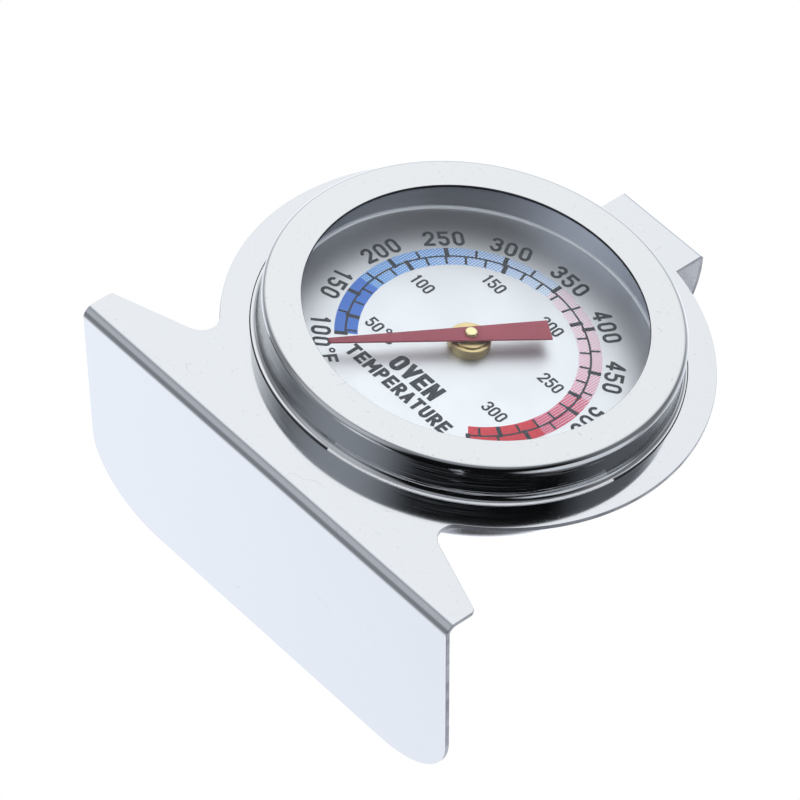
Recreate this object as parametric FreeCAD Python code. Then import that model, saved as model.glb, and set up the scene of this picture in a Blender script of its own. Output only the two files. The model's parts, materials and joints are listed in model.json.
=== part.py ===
import FreeCAD, Part
import math
import os

# Dial oven thermometer: a round bimetal movement in a steel case, carried by one bent sheet
# that is the back plate, the foot and the rack hook. Millimetres, +Z up, foot flat on z = 0.
# The origin is the centre of the foot's flat underside. The dial faces -Y and leans back.
#
# Every piece is drawn in the dial frame and then set in place: x to the right, y up the plate,
# z out of the dial along its axis, with z = 0 on the front face of the plate.

# --- stand plate -------------------------------------------------------------------------
LEAN = 12.5              # degrees that the plate leans back from upright
SHEET = 0.7              # thickness of the stand's sheet steel
PLATE_R = 35.0           # round upper part of the plate
CUP_HOLE_R = 28.1        # hole that the movement cup passes through
HALF_WIDTH = 36.2        # half the width of the skirt and foot
SHOULDER_Y = -34.7       # height of the skirt's outer corners
FLARE = 20.9             # degrees by which the skirt's upper edges slope down and out
NOTCH_R = 2.9            # relief arc between the round part and the skirt
SHOULDER_R = 0.8         # rounding of the skirt's outer corners
FOLD_Y = -38.2           # where the plate starts to bend into the foot
FOLD_R = 1.6             # outer radius of that bend
FOOT_LENGTH = 40.6       # flat part of the foot, front to back
FOOT_CORNER_R = 13.0     # rounded rear corners of the foot

# --- rack hook, a tab of the same sheet --------------------------------------------------
HOOK_WIDTH = 15.6
HOOK_RISE = 39.0         # where the tab starts to bend backwards
HOOK_BEND_R = 0.95       # outer radius of the bend at the top of the tab
HOOK_CROWN_R = 18.0      # gentle arch over the rack wire
HOOK_CROWN_TURN = 24.0   # degrees
HOOK_LIP_R = 2.4         # outer radius where the arch turns down into the lip
HOOK_LIP_TURN = 66.0     # degrees
HOOK_LIP_LENGTH = 3.4

# --- bezel ring --------------------------------------------------------------------------
BEZEL_R = 30.0
BEZEL_SHEET = 0.45
BEZEL_FACE_Z = 6.1       # front of the flat face
WINDOW_R = 24.5
BEZEL_ROLL_R = 0.9       # rolled outer edge
WINDOW_LIP = 0.35        # the face turns in to the glass by this much at the window
TAB_COUNT = 4
TAB_ANGLE = 10.0         # degrees of the ring that each tab takes
TAB_REACH_R = 33.2       # how far out a tab lies behind the plate
TAB_SLACK = 0.02         # play between a tab and its slot

# --- stack under the bezel: glass, gasket, cup flange, support sleeve -------------------
GLASS_T = 1.2
GLASS_R = 29.2
GASKET_T = 0.3
RING_WALL = 0.4          # sheet of the cup and of the dial retaining ring
CUP_R = 27.9
CUP_FLANGE_R = 29.3
CUP_REAR_Z = -11.0
CUP_CORNER_R = 1.8
SLEEVE_INNER_R = 28.2

# --- dial --------------------------------------------------------------------------------
DIAL_Z = -1.2            # printed face
DIAL_T = 0.5
DIAL_R = 27.0
SUPPORT_RING_R = 26.0    # ring on the cup's floor that carries the dial
SUPPORT_RING_WALL = 0.5

# --- bush, arbor and pointer ------------------------------------------------------------
BUSH_R = 3.0
BUSH_TOP_Z = 0.3
BUSH_STEP_R = 2.3
BUSH_STEP_Z = 0.55
BUSH_STEM_R = 2.0
BUSH_STEM_Z = -5.4
STEM_FIT = 0.05          # radial play of the stem in the dial and the bridge
ARBOR_R = 0.75
RUNNING_FIT = 0.04       # radial play of the arbor in its two bearings
PIVOT_R = 0.45
POINTER_Z = 0.85         # underside of the pointer
POINTER_T = 0.3
POINTER_TIP = 20.4
POINTER_TAIL = 11.4
TIP_HALF_WIDTH = 0.45
TAIL_HALF_WIDTH = 1.8
POINTER_REST = -148.0    # degrees clockwise from the top of the dial
HUB_R = 1.35
HUB_T = 0.2
PEEN_R = 0.95
PEEN_H = 0.45
WASHER_R = 3.9
WASHER_T = 0.3
NUT_FLATS = 7.0
NUT_T = 1.8

# --- bridge, coil and anchor ------------------------------------------------------------
BRIDGE_T = 0.8
BRIDGE_WIDTH = 9.0
BRIDGE_BEND_R = 0.7
BRIDGE_HALF_SPAN = 18.0
BRIDGE_FOOT = 5.0
COIL_STRIP = 0.35        # thickness of the bimetal strip
COIL_HEIGHT = 2.7        # width of the strip, along the arbor
COIL_LOW_Z = -8.9
COIL_PITCH = 1.8
COIL_HALF_TURNS = 12
COIL_TAIL = 5.0
COLLET_R = 1.9
COLLET_OVERHANG = 0.3
ANCHOR_T = 0.8
ANCHOR_FOOT = 5.5
RIVET_R = 1.0
RIVET_HEAD_R = 1.8
RIVET_HEAD_T = 0.6
PIVOT_BUSH_R = 1.6
PIVOT_FLANGE_R = 2.6
PIVOT_FLANGE_T = 0.6
PIVOT_CAP_T = 0.5

# --- worked out from the above ----------------------------------------------------------
LEAN_RAD = math.radians(LEAN)
GLASS_TOP_Z = BEZEL_FACE_Z - BEZEL_SHEET
GLASS_LOW_Z = GLASS_TOP_Z - GLASS_T
FLANGE_TOP_Z = GLASS_LOW_Z - GASKET_T
FLANGE_LOW_Z = FLANGE_TOP_Z - RING_WALL
CUP_INNER_R = CUP_R - RING_WALL
FLOOR_Z = CUP_REAR_Z + RING_WALL
DIAL_LOW_Z = DIAL_Z - DIAL_T
BRIDGE_LOW_Z = DIAL_LOW_Z - BRIDGE_T
BRIDGE_RIVET_X = BRIDGE_HALF_SPAN + BRIDGE_FOOT / 2
COIL_START_R = COLLET_R + COIL_STRIP / 2 + COIL_PITCH / 4     # its inner end meets the collet
COIL_END_R = COIL_START_R + (COIL_HALF_TURNS - 1) * COIL_PITCH / 2
ANCHOR_X = COIL_END_R + COIL_PITCH / 4 + COIL_STRIP / 2

# lowest line of the bend, seen from the dial centre, and with it the dial centre in the frame
FOLD_LOW_Y = FOLD_Y - FOLD_R * math.cos(LEAN_RAD)
FOLD_LOW_Z = -FOLD_R * (1 + math.sin(LEAN_RAD))
DIAL_HEIGHT = -(FOLD_LOW_Y * math.cos(LEAN_RAD) + FOLD_LOW_Z * math.sin(LEAN_RAD))
FOLD_BEHIND = FOLD_LOW_Y * math.sin(LEAN_RAD) - FOLD_LOW_Z * math.cos(LEAN_RAD)
DIAL_BACK = -(FOLD_BEHIND + FOOT_LENGTH / 2)

AXIS_Z = FreeCAD.Vector(0, 0, 1)
CENTRE = FreeCAD.Vector(0, 0, 0)


def vec(x, y, z=0.0):
    return FreeCAD.Vector(x, y, z)


def save(name, shape):
    """Set a piece drawn in the dial frame in its place on the stand and write it."""
    turn = FreeCAD.Rotation(vec(1, 0, 0), 90 - LEAN)
    seat = FreeCAD.Placement(vec(0, DIAL_BACK, DIAL_HEIGHT), turn)
    shape.Placement = seat.multiply(shape.Placement)
    assert shape.isValid(), name
    shape.exportStep("parts/" + name + ".step")


def turned(outline, angle=360.0, start=0.0):
    """Turn an outline of (radius, z) corners about the dial axis."""
    corners = [vec(radius, 0, z) for radius, z in outline]
    face = Part.Face(Part.makePolygon(corners + corners[:1]))
    solid = face.revolve(CENTRE, AXIS_Z, angle)
    return solid.rotate(CENTRE, AXIS_Z, start) or solid


def ring(inner, outer, low, high):
    """A plain ring, or a disc when inner is 0."""
    outer_solid = Part.makeCylinder(outer, high - low, vec(0, 0, low))
    if inner == 0:
        return outer_solid
    return outer_solid.cut(Part.makeCylinder(inner, high - low, vec(0, 0, low)))


def block(x0, x1, y0, y1, z0, z1):
    return Part.makeBox(x1 - x0, y1 - y0, z1 - z0, vec(x0, y0, z0))


def circle_edges(shape, radius, z):
    """The full-circle edges of one radius at one height."""
    found = []
    for edge in shape.Edges:
        curve = edge.Curve
        if curve.TypeId != "Part::GeomCircle":
            continue
        if abs(curve.Radius - radius) < 1e-4 and abs(curve.Center.z - z) < 1e-4:
            found.append(edge)
    return found


def bent_strip(start, heading, steps):
    """Side view of a bent strip, as a face in the y-z plane, with its thickness towards -z side.

    start is the (y, z) where the strip's outer skin begins and heading its direction in degrees
    (0 is +y, 90 is +z). Each step is ("straight", length) or ("bend", outer radius, degrees),
    and every bend turns towards the inner skin.
    """
    side = -1 if math.cos(math.radians(heading)) > 0 else 1   # which way a bend turns
    y, z = start
    outer, inner = [], []

    def inward(angle):
        rad = math.radians(angle + side * 90)
        return math.cos(rad), math.sin(rad)

    def point(py, pz):
        return vec(0, py, pz)

    for step in steps:
        if step[0] == "straight":
            rad = math.radians(heading)
            y1, z1 = y + step[1] * math.cos(rad), z + step[1] * math.sin(rad)
            ny, nz = inward(heading)
            outer.append(Part.makeLine(point(y, z), point(y1, z1)))
            inner.append(Part.makeLine(point(y + SHEET * ny, z + SHEET * nz),
                                       point(y1 + SHEET * ny, z1 + SHEET * nz)))
        else:
            radius, turn = step[1], step[2]
            ny, nz = inward(heading)
            cy, cz = y + radius * ny, z + radius * nz
            skins = []
            for r in (radius, radius - SHEET):
                arc = []
                for part_turn in (0, turn / 2, turn):
                    ay, az = inward(heading + side * part_turn)
                    arc.append(point(cy - r * ay, cz - r * az))
                skins.append(arc)
            outer.append(Part.Arc(*skins[0]).toShape())
            inner.append(Part.Arc(*skins[1]).toShape())
            heading += side * turn
            y1, z1 = skins[0][2].y, skins[0][2].z
        y, z = y1, z1
    close_start = Part.makeLine(outer[0].Vertexes[0].Point, inner[0].Vertexes[0].Point)
    close_end = Part.makeLine(outer[-1].Vertexes[-1].Point, inner[-1].Vertexes[-1].Point)
    wire = Part.Wire(Part.__sortEdges__(outer + inner + [close_start, close_end]))
    return Part.Face(wire)


# --- stand plate: round plate, skirt, foot and hook, one bent sheet ----------------------
def skirt_outline():
    """Flat outline of the skirt, from the plate's centre line out to its corners."""
    slope = math.radians(FLARE)
    along = (math.cos(slope), -math.sin(slope))
    up = (math.sin(slope), math.cos(slope))
    corner = (HALF_WIDTH, SHOULDER_Y)
    # centre of the relief arc: NOTCH_R above the sloping edge, PLATE_R + NOTCH_R from the centre
    base = (corner[0] + NOTCH_R * up[0], corner[1] + NOTCH_R * up[1])
    reach = PLATE_R + NOTCH_R
    half_b = base[0] * along[0] + base[1] * along[1]
    rest = base[0] ** 2 + base[1] ** 2 - reach ** 2
    back = -half_b + math.sqrt(half_b ** 2 - rest)
    relief = (base[0] + back * along[0], base[1] + back * along[1])
    on_edge = (relief[0] - NOTCH_R * up[0], relief[1] - NOTCH_R * up[1])
    on_plate = (relief[0] * PLATE_R / reach, relief[1] * PLATE_R / reach)
    to_edge = math.atan2(on_edge[1] - relief[1], on_edge[0] - relief[0]) % (2 * math.pi)
    to_plate = math.atan2(on_plate[1] - relief[1], on_plate[0] - relief[0]) % (2 * math.pi)
    middle = (to_edge + to_plate) / 2
    mid = (relief[0] + NOTCH_R * math.cos(middle), relief[1] + NOTCH_R * math.sin(middle))

    edges = []
    for s in (1, -1):
        edges.append(Part.Arc(vec(s * on_plate[0], on_plate[1]), vec(s * mid[0], mid[1]),
                              vec(s * on_edge[0], on_edge[1])).toShape())
        edges.append(Part.makeLine(vec(s * on_edge[0], on_edge[1]), vec(s * corner[0], corner[1])))
        edges.append(Part.makeLine(vec(s * corner[0], corner[1]), vec(s * HALF_WIDTH, FOLD_Y)))
    edges.append(Part.makeLine(vec(HALF_WIDTH, FOLD_Y), vec(-HALF_WIDTH, FOLD_Y)))
    edges.append(Part.makeLine(vec(on_plate[0], on_plate[1]), vec(-on_plate[0], on_plate[1])))
    return Part.Face(Part.Wire(Part.__sortEdges__(edges)))


def upright_edges(shape, x, y):
    """Edges along the sheet's thickness at one corner of the flat outline."""
    return [edge for edge in shape.Edges
            if len(edge.Vertexes) == 2
            and all(abs(abs(v.X) - x) < 1e-4 and abs(v.Y - y) < 1e-4 for v in edge.Vertexes)]


def stand_plate():
    disc = Part.makeCylinder(PLATE_R, SHEET, vec(0, 0, -SHEET))
    skirt = skirt_outline().extrude(vec(0, 0, -SHEET))
    skirt = skirt.makeFillet(SHOULDER_R, upright_edges(skirt, HALF_WIDTH, SHOULDER_Y))
    tab = block(-HOOK_WIDTH / 2, HOOK_WIDTH / 2, PLATE_R - 3, HOOK_RISE, -SHEET, 0)

    foot_side = bent_strip((FOLD_Y, 0), 180, [("bend", FOLD_R, 90 + LEAN),
                                              ("straight", FOOT_LENGTH)])
    foot_side.translate(vec(-HALF_WIDTH, 0, 0))
    foot = foot_side.extrude(vec(2 * HALF_WIDTH, 0, 0))
    far = min(v.Z for v in foot.Vertexes) + SHEET
    rear = [edge for edge in foot.Edges
            if abs(edge.Length - SHEET) < 1e-4 and all(v.Z < far for v in edge.Vertexes)]
    foot = foot.makeFillet(FOOT_CORNER_R, rear)

    top_turn = 90 - HOOK_CROWN_TURN / 2
    hook_side = bent_strip((HOOK_RISE, 0), 0, [("bend", HOOK_BEND_R, top_turn),
                                               ("bend", HOOK_CROWN_R, HOOK_CROWN_TURN),
                                               ("bend", HOOK_LIP_R, HOOK_LIP_TURN),
                                               ("straight", HOOK_LIP_LENGTH)])
    hook_side.translate(vec(-HOOK_WIDTH / 2, 0, 0))
    hook = hook_side.extrude(vec(HOOK_WIDTH, 0, 0))

    sheet = disc.fuse([skirt, tab, foot, hook])
    cuts = [Part.makeCylinder(CUP_HOLE_R, 2 * SHEET, vec(0, 0, -1.5 * SHEET))]
    slot = [(BEZEL_R - BEZEL_SHEET - TAB_SLACK, -1.5 * SHEET), (BEZEL_R + TAB_SLACK, -1.5 * SHEET),
            (BEZEL_R + TAB_SLACK, SHEET), (BEZEL_R - BEZEL_SHEET - TAB_SLACK, SHEET)]
    play = math.degrees(TAB_SLACK / BEZEL_R)
    for start in tab_starts():
        cuts.append(turned(slot, TAB_ANGLE + 2 * play, start - play))
    return sheet.cut(cuts).removeSplitter()


# --- bezel ring with the tabs that hold the case to the plate ----------------------------
def tab_starts():
    return [45 + 360 / TAB_COUNT * i - TAB_ANGLE / 2 for i in range(TAB_COUNT)]


def bezel_ring():
    wall_r = BEZEL_R - BEZEL_SHEET
    body = turned([(WINDOW_R, GLASS_TOP_Z), (wall_r, GLASS_TOP_Z), (wall_r, 0), (BEZEL_R, 0),
                   (BEZEL_R, BEZEL_FACE_Z), (WINDOW_R, BEZEL_FACE_Z)])
    body = body.makeFillet(BEZEL_ROLL_R, circle_edges(body, BEZEL_R, BEZEL_FACE_Z))
    body = body.makeFillet(WINDOW_LIP, circle_edges(body, WINDOW_R, BEZEL_FACE_Z))
    tab = [(wall_r, 0), (wall_r, -SHEET - BEZEL_SHEET), (TAB_REACH_R, -SHEET - BEZEL_SHEET),
           (TAB_REACH_R, -SHEET), (BEZEL_R, -SHEET), (BEZEL_R, 0)]
    tabs = [turned(tab, TAB_ANGLE, start) for start in tab_starts()]
    return body.fuse(tabs).removeSplitter()


# --- glass, gasket, cup, sleeve and the two dial rings ----------------------------------
def front_glass():
    glass = ring(0, GLASS_R, GLASS_LOW_Z, GLASS_TOP_Z)
    rims = circle_edges(glass, GLASS_R, GLASS_LOW_Z) + circle_edges(glass, GLASS_R, GLASS_TOP_Z)
    return glass.makeChamfer(0.15, rims)


def rivet_places():
    """Rivets in the cup's floor: two through the bridge's feet, one through the coil anchor."""
    return [(BRIDGE_RIVET_X, 0), (-BRIDGE_RIVET_X, 0), (0, ANCHOR_X + ANCHOR_T + ANCHOR_FOOT / 2)]


def movement_cup():
    cup = turned([(0, CUP_REAR_Z), (CUP_R, CUP_REAR_Z), (CUP_R, FLANGE_LOW_Z),
                  (CUP_FLANGE_R, FLANGE_LOW_Z), (CUP_FLANGE_R, FLANGE_TOP_Z),
                  (CUP_INNER_R, FLANGE_TOP_Z), (CUP_INNER_R, FLOOR_Z), (0, FLOOR_Z)])
    cup = cup.makeFillet(CUP_CORNER_R, circle_edges(cup, CUP_R, CUP_REAR_Z))
    cup = cup.makeFillet(CUP_CORNER_R - RING_WALL, circle_edges(cup, CUP_INNER_R, FLOOR_Z))
    holes = [Part.makeCylinder(PIVOT_BUSH_R, 2, vec(0, 0, CUP_REAR_Z - 1))]
    for x, y in rivet_places():
        holes.append(Part.makeCylinder(RIVET_R, 2, vec(x, y, CUP_REAR_Z - 1)))
    return cup.cut(holes)


def dial_plate():
    return ring(BUSH_STEM_R + STEM_FIT, DIAL_R, DIAL_LOW_Z, DIAL_Z)


# --- bush, washer and nut that hold the dial to the bridge -------------------------------
def bearing_bush():
    bush = turned([(ARBOR_R + RUNNING_FIT, BUSH_STEM_Z), (BUSH_STEM_R, BUSH_STEM_Z),
                   (BUSH_STEM_R, DIAL_Z), (BUSH_R, DIAL_Z), (BUSH_R, BUSH_TOP_Z),
                   (BUSH_STEP_R, BUSH_TOP_Z), (BUSH_STEP_R, BUSH_STEP_Z),
                   (ARBOR_R + RUNNING_FIT, BUSH_STEP_Z)])
    bush = bush.makeChamfer(0.2, circle_edges(bush, BUSH_R, BUSH_TOP_Z))
    return bush.makeChamfer(0.1, circle_edges(bush, BUSH_STEP_R, BUSH_STEP_Z))


def bush_nut():
    high = BRIDGE_LOW_Z - WASHER_T
    corner = NUT_FLATS / 2 / math.cos(math.radians(30))
    points = [vec(corner * math.cos(math.radians(60 * i)), corner * math.sin(math.radians(60 * i)),
                  high - NUT_T) for i in range(7)]
    nut = Part.Face(Part.makePolygon(points)).extrude(vec(0, 0, NUT_T))
    return nut.cut(Part.makeCylinder(BUSH_STEM_R, NUT_T, vec(0, 0, high - NUT_T)))


# --- bridge over the coil, riveted to the cup's floor ------------------------------------
def movement_bridge():
    """A strip bent down at both ends, with feet turned out along the cup's floor."""
    x, foot_x = BRIDGE_HALF_SPAN, BRIDGE_HALF_SPAN + BRIDGE_FOOT
    side_view = [(-foot_x, FLOOR_Z), (-x + BRIDGE_T, FLOOR_Z), (-x + BRIDGE_T, BRIDGE_LOW_Z),
                 (x - BRIDGE_T, BRIDGE_LOW_Z), (x - BRIDGE_T, FLOOR_Z), (foot_x, FLOOR_Z),
                 (foot_x, FLOOR_Z + BRIDGE_T), (x, FLOOR_Z + BRIDGE_T), (x, DIAL_LOW_Z),
                 (-x, DIAL_LOW_Z), (-x, FLOOR_Z + BRIDGE_T), (-foot_x, FLOOR_Z + BRIDGE_T)]
    corners = [vec(px, -BRIDGE_WIDTH / 2, pz) for px, pz in side_view]
    bridge = Part.Face(Part.makePolygon(corners + corners[:1])).extrude(vec(0, BRIDGE_WIDTH, 0))
    bends = [edge for edge in bridge.Edges
             if abs(edge.Length - BRIDGE_WIDTH) < 1e-4
             and all(abs(abs(v.X) - x) < 1e-4 and abs(v.Z - DIAL_LOW_Z) < 1e-4
                     for v in edge.Vertexes)]
    bridge = bridge.makeFillet(BRIDGE_BEND_R, bends)
    holes = [Part.makeCylinder(BUSH_STEM_R + STEM_FIT, 2, vec(0, 0, BRIDGE_LOW_Z - 0.5))]
    for hole_x, hole_y in rivet_places()[:2]:
        holes.append(Part.makeCylinder(RIVET_R, 2, vec(hole_x, hole_y, FLOOR_Z - 0.5)))
    return bridge.cut(holes)


# --- moving pieces: arbor, hub, pointer, collet ------------------------------------------
def arbor():
    shoulder_z = FLOOR_Z + PIVOT_FLANGE_T + RUNNING_FIT
    end_z = CUP_REAR_Z
    top_z = POINTER_Z + POINTER_T
    shaft = turned([(0, end_z), (PIVOT_R, end_z), (PIVOT_R, shoulder_z), (ARBOR_R, shoulder_z),
                    (ARBOR_R, top_z), (PEEN_R, top_z), (PEEN_R, top_z + PEEN_H),
                    (0, top_z + PEEN_H)])
    return shaft.makeFillet(PEEN_H * 0.7, circle_edges(shaft, PEEN_R, top_z + PEEN_H))


def pointer():
    low = POINTER_Z
    corners = [vec(-TAIL_HALF_WIDTH, -POINTER_TAIL, low), vec(TAIL_HALF_WIDTH, -POINTER_TAIL, low),
               vec(TIP_HALF_WIDTH, POINTER_TIP, low), vec(-TIP_HALF_WIDTH, POINTER_TIP, low)]
    blade = Part.Face(Part.makePolygon(corners + corners[:1])).extrude(vec(0, 0, POINTER_T))
    blade = blade.cut(Part.makeCylinder(ARBOR_R, POINTER_T, vec(0, 0, low)))
    blade.rotate(CENTRE, AXIS_Z, -POINTER_REST)
    return blade


def coil_collet():
    return ring(ARBOR_R, COLLET_R, COIL_LOW_Z - COLLET_OVERHANG,
                COIL_LOW_Z + COIL_HEIGHT + COLLET_OVERHANG)


# --- bimetal coil, its anchor and the rivets ---------------------------------------------
def bimetal_coil():
    """A flat spiral of half circles whose centres alternate, ending in a straight tail."""
    skins = {COIL_STRIP / 2: [], -COIL_STRIP / 2: []}
    for offset, edges in skins.items():
        for k in range(COIL_HALF_TURNS):
            centre = COIL_PITCH / 4 * (1 if k % 2 else -1)
            radius = COIL_START_R + k * COIL_PITCH / 2 + offset
            side = -1 if k % 2 else 1
            edges.append(Part.Arc(vec(centre + side * radius, 0, COIL_LOW_Z),
                                  vec(centre, side * radius, COIL_LOW_Z),
                                  vec(centre - side * radius, 0, COIL_LOW_Z)).toShape())
        end = edges[-1].Vertexes[0].Point
        if abs(end.x) < abs(edges[-1].Vertexes[-1].Point.x):
            end = edges[-1].Vertexes[-1].Point
        edges.append(Part.makeLine(end, end + vec(0, COIL_TAIL, 0)))
        edges.append(end)
    outer, inner = skins[COIL_STRIP / 2], skins[-COIL_STRIP / 2]
    ends = [outer.pop() + vec(0, COIL_TAIL, 0), inner.pop() + vec(0, COIL_TAIL, 0)]
    start_x = -COIL_PITCH / 4 + COIL_START_R
    outer.append(Part.makeLine(*ends))
    outer.append(Part.makeLine(vec(start_x - COIL_STRIP / 2, 0, COIL_LOW_Z),
                               vec(start_x + COIL_STRIP / 2, 0, COIL_LOW_Z)))
    face = Part.Face(Part.Wire(Part.__sortEdges__(outer + inner)))
    strip = face.extrude(vec(0, 0, COIL_HEIGHT))
    return strip.cut(anchor_pin_hole())


def anchor_pin_hole():
    """Hole for the pin that fixes the coil's tail to its anchor."""
    return Part.makeCylinder(0.6, 4, vec(ANCHOR_X - 2, COIL_TAIL / 2, COIL_LOW_Z + COIL_HEIGHT / 2),
                             vec(1, 0, 0))


def coil_anchor():
    upright = block(ANCHOR_X, ANCHOR_X + ANCHOR_T, 0.3, COIL_TAIL, FLOOR_Z,
                    COIL_LOW_Z + COIL_HEIGHT + 0.5)
    foot = block(ANCHOR_X, ANCHOR_X + ANCHOR_T + ANCHOR_FOOT, -COIL_TAIL / 2, COIL_TAIL,
                 FLOOR_Z, FLOOR_Z + ANCHOR_T)
    anchor = upright.fuse(foot).removeSplitter().cut(anchor_pin_hole())
    hole = Part.makeCylinder(RIVET_R, 2, vec(ANCHOR_X + ANCHOR_T + ANCHOR_FOOT / 2, 0, FLOOR_Z - 0.5))
    return anchor.cut(hole)


def coil_end_pin():
    middle = vec(ANCHOR_X - COIL_STRIP - 0.3, COIL_TAIL / 2, COIL_LOW_Z + COIL_HEIGHT / 2)
    shank = Part.makeCylinder(0.6, COIL_STRIP + ANCHOR_T + 0.6, middle, vec(1, 0, 0))
    heads = [Part.makeCylinder(0.95, 0.3, middle, vec(1, 0, 0)),
             Part.makeCylinder(0.95, 0.3, middle + vec(COIL_STRIP + ANCHOR_T + 0.3, 0, 0),
                               vec(1, 0, 0))]
    return shank.fuse(heads).removeSplitter()


def quarter_turn(shape):
    """The coil is anchored above the arbor, clear of the bridge's feet."""
    shape.rotate(CENTRE, AXIS_Z, 90)
    return shape


def floor_rivets():
    """Each rivet: a head on the cup's back, a shank, and a closed head on the sheet inside."""
    inner_z = FLOOR_Z + BRIDGE_T
    profile = [(0, CUP_REAR_Z - RIVET_HEAD_T), (RIVET_HEAD_R, CUP_REAR_Z - RIVET_HEAD_T),
               (RIVET_HEAD_R, CUP_REAR_Z), (RIVET_R, CUP_REAR_Z), (RIVET_R, inner_z),
               (RIVET_HEAD_R, inner_z), (RIVET_HEAD_R, inner_z + RIVET_HEAD_T),
               (0, inner_z + RIVET_HEAD_T)]
    rivets = []
    for x, y in rivet_places():
        rivet = turned(profile)
        rivet = rivet.makeFillet(RIVET_HEAD_T * 0.7,
                                 circle_edges(rivet, RIVET_HEAD_R, CUP_REAR_Z - RIVET_HEAD_T))
        rivet.translate(vec(x, y, 0))
        rivets.append(rivet)
    return Part.makeCompound(rivets)


def rear_pivot_bush():
    """Blind bearing for the arbor's rear pivot, spread over the hole in the cup's floor."""
    cap_z = CUP_REAR_Z - PIVOT_CAP_T
    bore = PIVOT_R + RUNNING_FIT
    bush = turned([(0, cap_z), (PIVOT_FLANGE_R, cap_z), (PIVOT_FLANGE_R, CUP_REAR_Z),
                   (PIVOT_BUSH_R, CUP_REAR_Z), (PIVOT_BUSH_R, FLOOR_Z), (PIVOT_FLANGE_R, FLOOR_Z),
                   (PIVOT_FLANGE_R, FLOOR_Z + PIVOT_FLANGE_T), (bore, FLOOR_Z + PIVOT_FLANGE_T),
                   (bore, CUP_REAR_Z - 0.1), (0, CUP_REAR_Z - 0.1)])
    return bush.makeFillet(PIVOT_CAP_T * 0.7, circle_edges(bush, PIVOT_FLANGE_R, cap_z))


os.makedirs("parts", exist_ok=True)
save("stand_plate", stand_plate())
save("bezel_ring", bezel_ring())
save("front_glass", front_glass())
save("glass_gasket", ring(DIAL_R + 0.05, GLASS_R, FLANGE_TOP_Z, GLASS_LOW_Z))
save("movement_cup", movement_cup())
save("support_sleeve", ring(SLEEVE_INNER_R, CUP_FLANGE_R, 0, FLANGE_LOW_Z))
save("dial_retaining_ring", ring(DIAL_R + 0.05, CUP_INNER_R - 0.05, DIAL_Z, FLANGE_TOP_Z))
save("dial_support_ring", ring(SUPPORT_RING_R - SUPPORT_RING_WALL, SUPPORT_RING_R,
                               FLOOR_Z, DIAL_LOW_Z))
save("dial_plate", dial_plate())
save("bearing_bush", bearing_bush())
save("bush_washer", ring(BUSH_STEM_R + STEM_FIT, WASHER_R, BRIDGE_LOW_Z - WASHER_T, BRIDGE_LOW_Z))
save("bush_nut", bush_nut())
save("movement_bridge", movement_bridge())
save("arbor", arbor())
save("pointer_hub", ring(ARBOR_R, HUB_R, POINTER_Z - HUB_T, POINTER_Z))
save("pointer", pointer())
save("coil_collet", coil_collet())
save("bimetal_coil", quarter_turn(bimetal_coil()))
save("coil_anchor", quarter_turn(coil_anchor()))
save("coil_end_pin", quarter_turn(coil_end_pin()))
save("floor_rivets", floor_rivets())
save("rear_pivot_bush", rear_pivot_bush())
print("dial centre at y %.3f, z %.3f" % (DIAL_BACK, DIAL_HEIGHT))
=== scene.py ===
import json
import math

import bmesh
import bpy
from mathutils import Matrix, Vector


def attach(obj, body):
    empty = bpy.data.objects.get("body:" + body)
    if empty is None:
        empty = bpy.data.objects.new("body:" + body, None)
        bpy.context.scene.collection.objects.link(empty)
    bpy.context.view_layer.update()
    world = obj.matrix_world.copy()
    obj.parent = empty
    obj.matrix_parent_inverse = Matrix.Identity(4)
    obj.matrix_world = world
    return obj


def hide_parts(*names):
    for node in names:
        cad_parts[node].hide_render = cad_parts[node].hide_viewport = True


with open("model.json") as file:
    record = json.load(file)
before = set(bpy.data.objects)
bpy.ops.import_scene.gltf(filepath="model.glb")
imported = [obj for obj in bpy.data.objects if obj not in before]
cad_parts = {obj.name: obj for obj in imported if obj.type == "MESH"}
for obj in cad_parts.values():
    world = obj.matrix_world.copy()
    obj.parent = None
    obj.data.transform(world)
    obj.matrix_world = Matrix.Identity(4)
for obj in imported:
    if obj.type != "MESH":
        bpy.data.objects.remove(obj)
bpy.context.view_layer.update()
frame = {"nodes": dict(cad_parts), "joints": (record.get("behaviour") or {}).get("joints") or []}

# Every piece is drawn in millimetres in the dial's own frame: x to the right, y up the plate,
# z out of the dial along the pointer's axis, with z = 0 on the front face of the stand plate.
MM = 0.001
pointer_joint = frame["joints"][0]
dial_out = -Vector(pointer_joint["axis"]).normalized()
dial_right = Vector((1, 0, 0))
dial_up = dial_out.cross(dial_right)
dial_seat = (Matrix.Translation(Vector(pointer_joint["pos_m"]))
             @ Matrix((dial_right, dial_up, dial_out)).transposed().to_4x4())


# Stand plate: one piece of polished stainless sheet, blanked and bent. It is a round back plate
# with a hook over its top edge for an oven rack, and a flared skirt that turns back into the
# foot. Its sheared edges are only lightly broken.
SHEET = 0.7
PLATE_R = 35.0
CUP_HOLE_R = 28.1
SKIRT_HALF = 36.2
SHOULDER_Y, FLARE = -34.7, math.radians(20.9)
RELIEF_R = 2.9
FOLD_Y, FOLD_R, FOOT_LENGTH, FOOT_CORNER = -38.2, 1.6, 40.6, 13.0
LEAN = 12.5
HOOK_HALF, HOOK_RISE = 7.8, 39.0
foot_bends = [("bend", FOLD_R, 90 + LEAN), ("straight", FOOT_LENGTH)]
hook_bends = [("bend", 0.95, 78), ("bend", 18.0, 24), ("bend", 2.4, 66), ("straight", 3.4)]
SHOULDER_ROUND, HOOK_ROUND = 0.8, 0.6
TAB_HALF_ANGLE = 5.0
tab_spans = [(middle - TAB_HALF_ANGLE, middle + TAB_HALF_ANGLE) for middle in (45, 135, 225, 315)]
SLOT_IN_R, SLOT_OUT_R = 29.53, 30.02


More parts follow.
